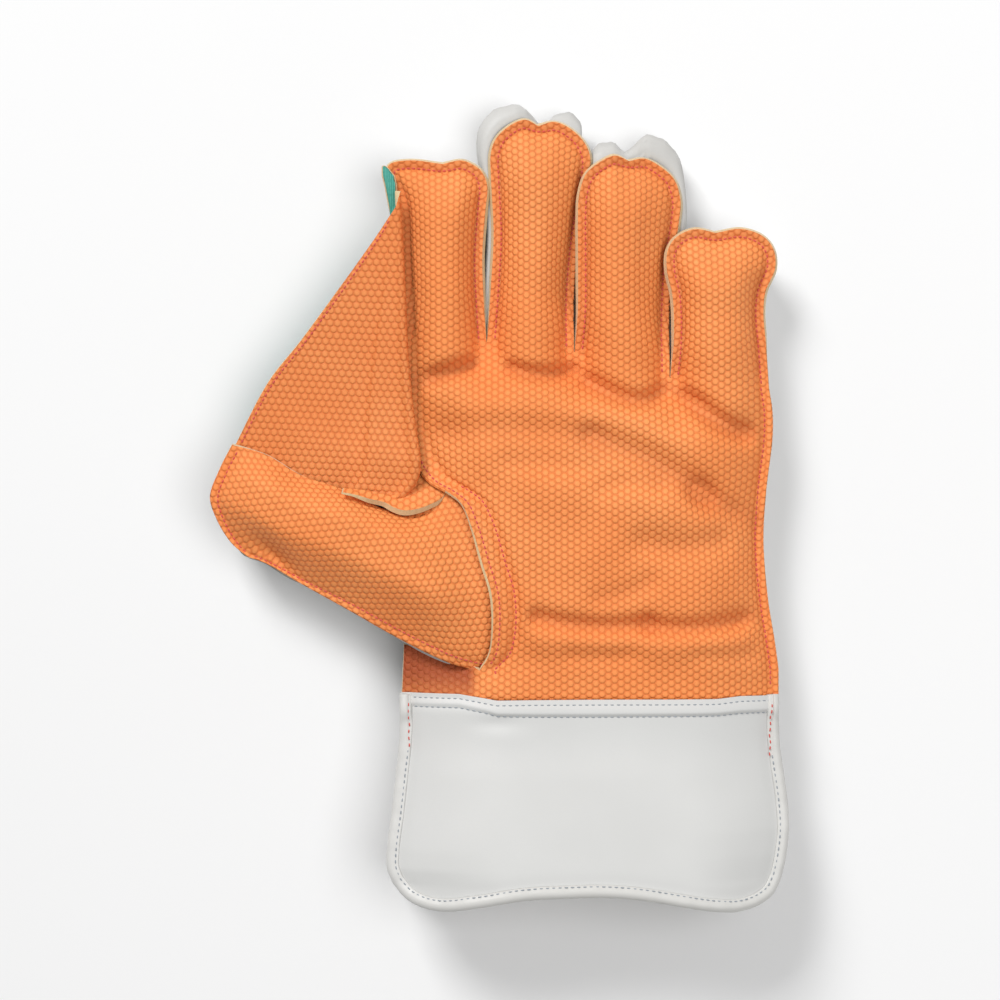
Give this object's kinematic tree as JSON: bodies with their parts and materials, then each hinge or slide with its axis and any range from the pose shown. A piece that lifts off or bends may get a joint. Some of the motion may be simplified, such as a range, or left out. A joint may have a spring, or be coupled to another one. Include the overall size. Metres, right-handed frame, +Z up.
{
  "type": "wicketkeeping glove",
  "caption": "Left-hand wicketkeeping glove with a ribbed rubber palm, webbed thumb, leather back and a padded open cuff, lying on its back.",
  "frame": {"origin": "middle of the underside of the bounding box", "axes": "+Y towards the fingertips, -X towards the thumb, +Z up out of the palm as the glove lies on its back"},
  "size_m": [0.2202, 0.3068, 0.0473],
  "materials": {
    "facing_rubber": "matte",
    "back_leather": "satin",
    "web_backing": "matte",
    "cuff_leather": "satin",
    "binding": "matte"
  },
  "bodies": {
    "root": {"palm_rubber": "facing_rubber", "thumb_rubber": "facing_rubber", "web_rubber": "facing_rubber", "thumb_lip": "facing_rubber", "hand_back": "back_leather", "index_back": "back_leather", "middle_back": "back_leather", "ring_back": "back_leather", "little_back": "back_leather", "thumb_back": "back_leather", "web_back": "web_backing", "cuff_front": "cuff_leather", "cuff_back": "cuff_leather", "cuff_band": "cuff_leather", "binding_front": "binding", "binding_back": "binding"}
  },
  "joints": []
}
